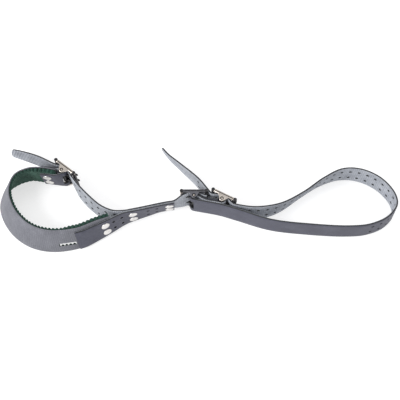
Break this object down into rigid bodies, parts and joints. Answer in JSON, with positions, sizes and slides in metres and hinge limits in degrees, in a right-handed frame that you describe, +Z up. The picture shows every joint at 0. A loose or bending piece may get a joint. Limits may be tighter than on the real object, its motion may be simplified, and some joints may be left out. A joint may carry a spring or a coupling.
{
  "type": "climbing iron strap set",
  "caption": "Padded ankle loop and plain foot loop of punched strapping with roller buckles, joined end to end, for strapping on climbing irons.",
  "frame": {"origin": "centre of the bounding box at its lowest face, on the surface that the straps stand on", "axes": "+X along the length of the set, from the padded ankle loop to the foot loop; +Z up, along the width of the straps; +Y from the rivet side of the pad to its buckle side"},
  "size_m": [0.4498, 0.1256, 0.0378],
  "materials": {
    "strap": "coated woven strapping, satin outside and ribbed lighter grey inside",
    "pad_cover": "woven grey ply, matt",
    "pad_felt": "dark green felt with pinked edges",
    "nickel": "polished nickel plate",
    "dark_steel": "blackened steel",
    "rivet_steel": "satin, lightly domed heads"
  },
  "bodies": {
    "ankle_loop": {"pad_cover": "pad_cover", "pad_felt": "pad_felt", "ankle_chape": "strap", "front_strap": "strap", "ankle_strap": "strap", "chape_rivet_upper": "rivet_steel", "chape_rivet_lower": "rivet_steel", "pad_rivet_upper": "rivet_steel", "pad_rivet_lower": "rivet_steel", "lap_rivet_upper": "rivet_steel", "lap_rivet_lower": "rivet_steel", "end_rivet_upper": "rivet_steel", "end_rivet_lower": "rivet_steel"},
    "foot_loop": {"foot_strap": "strap", "foot_rivet_upper": "rivet_steel", "foot_rivet_lower": "rivet_steel"},
    "ankle_buckle": {"ankle_frame": "nickel", "ankle_pin": "nickel"},
    "ankle_tongue": {"ankle_tongue": "dark_steel"},
    "ankle_roller_front": {"ankle_roller_front": "dark_steel"},
    "ankle_roller_back": {"ankle_roller_back": "dark_steel"},
    "middle_buckle": {"middle_frame": "nickel", "middle_pin": "nickel"},
    "middle_tongue": {"middle_tongue": "dark_steel"},
    "middle_roller_front": {"middle_roller_front": "dark_steel"},
    "middle_roller_back": {"middle_roller_back": "dark_steel"},
    "foot_buckle": {"foot_frame": "nickel", "foot_pin": "nickel"},
    "foot_tongue": {"foot_tongue": "dark_steel"},
    "foot_roller_front": {"foot_roller_front": "dark_steel"},
    "foot_roller_back": {"foot_roller_back": "dark_steel"}
  },
  "joints": [
    {"name": "ankle_buckle_swing", "type": "hinge", "parent": "ankle_loop", "child": "ankle_buckle", "pos_m": [-0.15092, 0.02309, 0.0182], "axis": [0, 0, 1], "range_deg": [-1.5, 1.5]},
    {"name": "middle_buckle_swing", "type": "hinge", "parent": "ankle_loop", "child": "middle_buckle", "pos_m": [-0.00267, -0.00853, 0.0182], "axis": [0, 0, 1], "range_deg": [-1.5, 1.5]},
    {"name": "foot_loop_swing", "type": "hinge", "parent": "middle_buckle", "child": "foot_loop", "pos_m": [-0.00267, -0.00853, 0.0182], "axis": [0, 0, 1], "range_deg": [-8, 8]},
    {"name": "foot_buckle_swing", "type": "hinge", "parent": "foot_loop", "child": "foot_buckle", "pos_m": [0.0282, -0.01243, 0.0182], "axis": [0, 0, 1], "range_deg": [-1.5, 1.5]},
    {"name": "ankle_tongue_lift", "type": "hinge", "parent": "ankle_buckle", "child": "ankle_tongue", "pos_m": [-0.15092, 0.02309, 0.0182], "axis": [0, 0, 1], "range_deg": [0, 12]},
    {"name": "ankle_roller_front_spin", "type": "hinge", "parent": "ankle_buckle", "child": "ankle_roller_front", "pos_m": [-0.1371, 0.0188, 0.0182], "axis": [0, 0, 1], "continuous": true},
    {"name": "ankle_roller_back_spin", "type": "hinge", "parent": "ankle_buckle", "child": "ankle_roller_back", "pos_m": [-0.15829, 0.03553, 0.0182], "axis": [0, 0, 1], "continuous": true},
    {"name": "middle_tongue_lift", "type": "hinge", "parent": "middle_buckle", "child": "middle_tongue", "pos_m": [-0.00267, -0.00853, 0.0182], "axis": [0, 0, -1], "range_deg": [0, 12]},
    {"name": "middle_roller_front_spin", "type": "hinge", "parent": "middle_buckle", "child": "middle_roller_front", "pos_m": [-0.01617, -0.00333, 0.0182], "axis": [0, 0, 1], "continuous": true},
    {"name": "middle_roller_back_spin", "type": "hinge", "parent": "middle_buckle", "child": "middle_roller_back", "pos_m": [0.01082, -0.00333, 0.0182], "axis": [0, 0, 1], "continuous": true},
    {"name": "foot_tongue_lift", "type": "hinge", "parent": "foot_buckle", "child": "foot_tongue", "pos_m": [0.0282, -0.01243, 0.0182], "axis": [0, 0, 1], "range_deg": [0, 12]},
    {"name": "foot_roller_front_spin", "type": "hinge", "parent": "foot_buckle", "child": "foot_roller_front", "pos_m": [0.04257, -0.01413, 0.0182], "axis": [0, 0, 1], "continuous": true},
    {"name": "foot_roller_back_spin", "type": "hinge", "parent": "foot_buckle", "child": "foot_roller_back", "pos_m": [0.01868, -0.00154, 0.0182], "axis": [0, 0, 1], "continuous": true}
  ]
}
